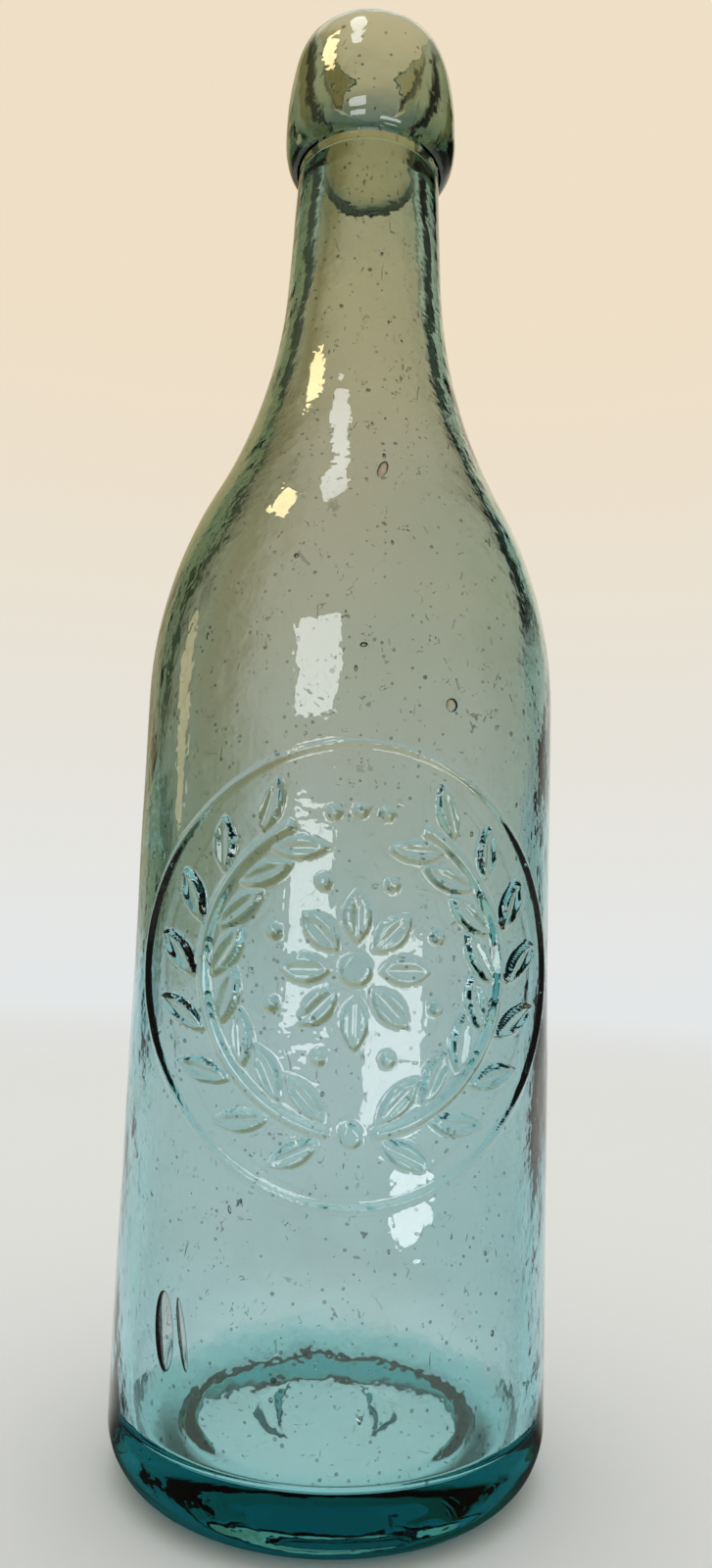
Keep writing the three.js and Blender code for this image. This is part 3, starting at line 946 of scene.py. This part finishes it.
class BOTTLE_OT_studio(bpy.types.Operator):
    """Set the floor, the backdrop, the lights and the camera"""

    bl_idname = "bottle.studio"
    bl_label = "Studio"

    def execute(self, context):
        look = context.scene.bottle_studio
        self.room(look)
        for name, place, size, setting, share, tone, shape in LIGHTS:
            self.soft_light(name, place, size, share * getattr(look, setting), tone, shape)
        self.camera(context, look)
        world = bpy.data.worlds.new("studio_world")
        world.use_nodes = True
        world.node_tree.nodes["Background"].inputs["Color"].default_value = WORLD_GREY
        context.scene.world = world
        context.scene.view_settings.view_transform = "Standard"
        return {"FINISHED"}

    @staticmethod
    def room(look):
        """A pale floor that sweeps up into a lit backdrop all round."""
        cuts, quarter = ROOM_CUTS, math.pi / 2
        floor_run, cove, wall_top, roof_rise = 1.0, 0.6, 1.4, 1.0
        floor_end, wall_start = 0.35, 0.95
        outline = [(0, -FLOOR_DROP)]
        outline += line(outline[-1], (floor_run, -FLOOR_DROP), cuts["floor"])
        outline += arc((floor_run, cove - FLOOR_DROP), cove, cove, -quarter, 0, cuts["cove"])
        outline += line(outline[-1], (floor_run + cove, wall_top), cuts["wall"])
        outline += arc((0, wall_top), floor_run + cove, roof_rise, 0, quarter, cuts["roof"])
        room = spin_outline("backdrop", outline, inside=True)
        bpy.ops.object.shade_smooth()
        material = bpy.data.materials.new("pale_backdrop")
        nodes = Nodes(material)
        place = nodes.add("ShaderNodeTexCoord").outputs["Object"]
        rays = nodes.add("ShaderNodeLightPath").outputs
        normed = nodes.add("ShaderNodeVectorMath", {0: place}, operation="NORMALIZE").outputs["Vector"]
        way = nodes.add("ShaderNodeSeparateXYZ", {0: normed}).outputs
        out_from = nodes.add("ShaderNodeVectorMath", {0: place}, operation="LENGTH").outputs["Value"]
        floor = floor_face(nodes, look, out_from, way[1], rays)
        wall = wall_glow(nodes, look, way, rays)
        mixed = nodes.join(nodes.spread(out_from, floor_end, wall_start), floor, wall)
        nodes.add("ShaderNodeOutputMaterial", {"Surface": mixed.outputs[0]})
        room.data.materials.append(material)

    @staticmethod
    def soft_light(name, place, size, brightness, tone, shape):
        """An area light that the glass mirrors in full and shows dimmed behind itself."""
        area = size[0] * size[1] * (math.pi / 4 if shape == "ELLIPSE" else 1)
        for ending, share in (("_mirrored", 1.0), ("_through", SEEN_THROUGH)):
            lamp = bpy.data.lights.new(name + ending, "AREA")
            lamp.shape = shape
            lamp.size, lamp.size_y = size
            lamp.energy = brightness * share * math.pi * area
            lamp.color = tone
            holder = bpy.data.objects.new(name + ending, lamp)
            bpy.context.scene.collection.objects.link(holder)
            holder.location = place
            aim = Vector((0, 0, AIM_HEIGHT)) - Vector(place)
            holder.rotation_euler = aim.to_track_quat("-Z", "Y").to_euler()
            holder.visible_camera = False
            holder.visible_diffuse = False
            holder.visible_glossy = share == 1.0
            holder.visible_transmission = share != 1.0

    @staticmethod
    def camera(context, look):
        """The camera at the photograph's place and angle."""
        straight_ahead = math.pi / 2
        data = bpy.data.cameras.new("camera")
        data.sensor_fit = "AUTO"
        data.sensor_width = SENSOR_WIDTH
        data.lens = look.lens
        data.clip_start = NEAREST_SEEN
        camera = bpy.data.objects.new("camera", data)
        context.scene.collection.objects.link(camera)
        place = (look.distance * math.sin(look.turn), -look.distance * math.cos(look.turn), look.height)
        camera.matrix_world = (
            Matrix.Translation(place)
            @ Matrix.Rotation(look.turn + look.yaw, 4, "Z")
            @ Matrix.Rotation(straight_ahead + look.lift, 4, "X")
            @ Matrix.Rotation(look.roll, 4, "Z")
        )
        context.scene.camera = camera


class BOTTLE_PT_sidebar(bpy.types.Panel):
    """Lists the bottle's pieces and their sizes"""

    bl_idname = "BOTTLE_PT_sidebar"
    bl_label = "Bottle"
    bl_space_type = "VIEW_3D"
    bl_region_type = "UI"
    bl_category = "Bottle"

    def draw(self, context):
        for piece in OPERATORS:
            self.layout.operator(piece.bl_idname)
        for name in SETTINGS:
            group = getattr(context.scene, name)
            box = self.layout.box()
            box.label(text=group.__class__.__doc__)
            for key in group.__class__.__annotations__:
                box.prop(group, key)


OPERATORS = (BOTTLE_OT_blown_body, BOTTLE_OT_applied_lip, BOTTLE_OT_studio)
SETTINGS = {
    "bottle_body": BodySizes,
    "bottle_plate": PlateSizes,
    "bottle_lip": LipSizes,
    "bottle_glass": GlassLook,
    "bottle_studio": StudioLook,
}


def register():
    """Registers the classes and hangs the settings on the scene."""
    for cls in (*SETTINGS.values(), *OPERATORS, BOTTLE_PT_sidebar):
        bpy.utils.register_class(cls)
    for name, group in SETTINGS.items():
        setattr(bpy.types.Scene, name, bpy.props.PointerProperty(type=group))


def unregister():
    """Undoes register."""
    for name in SETTINGS:
        delattr(bpy.types.Scene, name)
    for cls in reversed((*SETTINGS.values(), *OPERATORS, BOTTLE_PT_sidebar)):
        bpy.utils.unregister_class(cls)


def main():
    """Builds the bottle and its studio."""
    register()
    bpy.ops.bottle.studio()
    bpy.ops.bottle.blown_body()
    bpy.ops.bottle.applied_lip()


if __name__ == "__main__":
    main()
